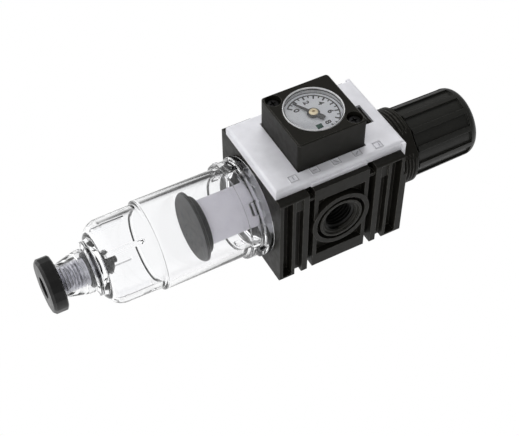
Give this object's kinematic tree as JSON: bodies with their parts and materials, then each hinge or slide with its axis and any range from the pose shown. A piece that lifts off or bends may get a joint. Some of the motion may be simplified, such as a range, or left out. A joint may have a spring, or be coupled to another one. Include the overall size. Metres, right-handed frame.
{
  "type": "compressed air filter regulator",
  "caption": "Modular compressed-air filter regulator: clear filter bowl with manual drain, square ported body, built-in square gauge and pressure knob.",
  "frame": {"origin": "where the line of the two pipe ports crosses the main axis", "axes": "+Z along the main axis towards the pressure knob, +X out of the right-hand port, -Y out of the gauge's face"},
  "size_m": [0.046, 0.0605, 0.1813],
  "materials": {
    "housing": "moulded glass-filled nylon, satin black",
    "cover": "satin light grey moulding",
    "knob": "satin black moulding",
    "clear": "clear polycarbonate, polished",
    "lens": "clear polycarbonate, polished",
    "filter": "sintered white polyethylene",
    "inner_plastic": "natural acetal",
    "baffle": "dark grey moulding",
    "rubber": "black nitrile rubber",
    "dial": "printed white face",
    "needle": "black lacquer",
    "brass": "machined",
    "steel": "zinc plated",
    "dark_steel": "black oxide",
    "spring_steel": "drawn spring wire",
    "drain_clear": "grey translucent acetal thread",
    "drain_black": "black moulding"
  },
  "bodies": {
    "root": {"main_body": "housing", "front_cover": "cover", "bonnet": "housing", "valve_seat": "brass", "valve_guide": "inner_plastic", "filter_element": "filter", "swirl_deflector": "inner_plastic", "filter_baffle": "baffle", "gauge_case": "housing", "gauge_seal": "rubber", "gauge_lens": "lens", "gauge_dial": "dial", "bourdon_coil": "brass", "gauge_screws": "dark_steel", "thrust_washer": "steel", "detent_ring": "rubber", "slip_ring": "inner_plastic"},
    "gauge_pointer": {"gauge_needle": "needle", "gauge_spindle": "brass", "gauge_hub": "brass"},
    "spindle": {"adjusting_screw": "steel"},
    "knob": {"pressure_knob": "knob"},
    "spring_nut": {"adjusting_nut": "brass", "main_spring": "spring_steel"},
    "valve": {"diaphragm_plate": "steel", "diaphragm": "rubber", "diaphragm_disc": "steel", "valve_pin": "steel", "valve_poppet": "brass", "poppet_seal": "rubber", "poppet_spring": "spring_steel"},
    "bowl_ring": {"bowl_seal": "rubber"},
    "bowl": {"bowl": "clear"},
    "drain_ring": {"drain_seal": "rubber"},
    "drain": {"drain_stem": "drain_clear", "drain_plug": "drain_black", "drain_knob": "drain_black"}
  },
  "joints": [
    {"name": "needle_turn", "type": "hinge", "parent": "root", "child": "gauge_pointer", "pos_m": [0, -0.034, 0], "axis": [0, 1, 0], "range_deg": [-16, 234], "stiffness_Nm_per_rad": 0.0002},
    {"name": "knob_turn", "type": "hinge", "parent": "root", "child": "spindle", "pos_m": [0, 0, 0.046], "axis": [0, 0, 1], "range_deg": [0, 1440]},
    {"name": "knob_lift", "type": "slide", "parent": "spindle", "child": "knob", "axis": [0, 0, 1], "range_m": [0, 0.003]},
    {"name": "nut_travel", "type": "slide", "parent": "root", "child": "spring_nut", "axis": [0, 0, -1], "range_m": [0, 0.0061], "deforming": ["main_spring"]},
    {"name": "valve_lift", "type": "slide", "parent": "root", "child": "valve", "axis": [0, 0, -1], "range_m": [0, 0.001], "stiffness_N_per_m": 1000, "deforming": ["poppet_spring", "diaphragm"]},
    {"name": "bowl_drop", "type": "slide", "parent": "root", "child": "bowl_ring", "axis": [0, 0, -1], "range_m": [0, 0.0076]},
    {"name": "bowl_turn", "type": "hinge", "parent": "bowl_ring", "child": "bowl", "pos_m": [0, 0, -0.05], "axis": [0, 0, -1], "range_deg": [0, 1080]},
    {"name": "drain_drop", "type": "slide", "parent": "bowl", "child": "drain_ring", "axis": [0, 0, -1], "range_m": [0, 0.00125]},
    {"name": "drain_turn", "type": "hinge", "parent": "drain_ring", "child": "drain", "pos_m": [0, 0, -0.1], "axis": [0, 0, -1], "range_deg": [0, 360]}
  ],
  "couplings": [
    {"joint": "nut_travel", "follows": "knob_turn", "m_per_rad": 0.00023873},
    {"joint": "bowl_drop", "follows": "bowl_turn", "m_per_rad": 0.00039789},
    {"joint": "drain_drop", "follows": "drain_turn", "m_per_rad": 0.00019894}
  ]
}
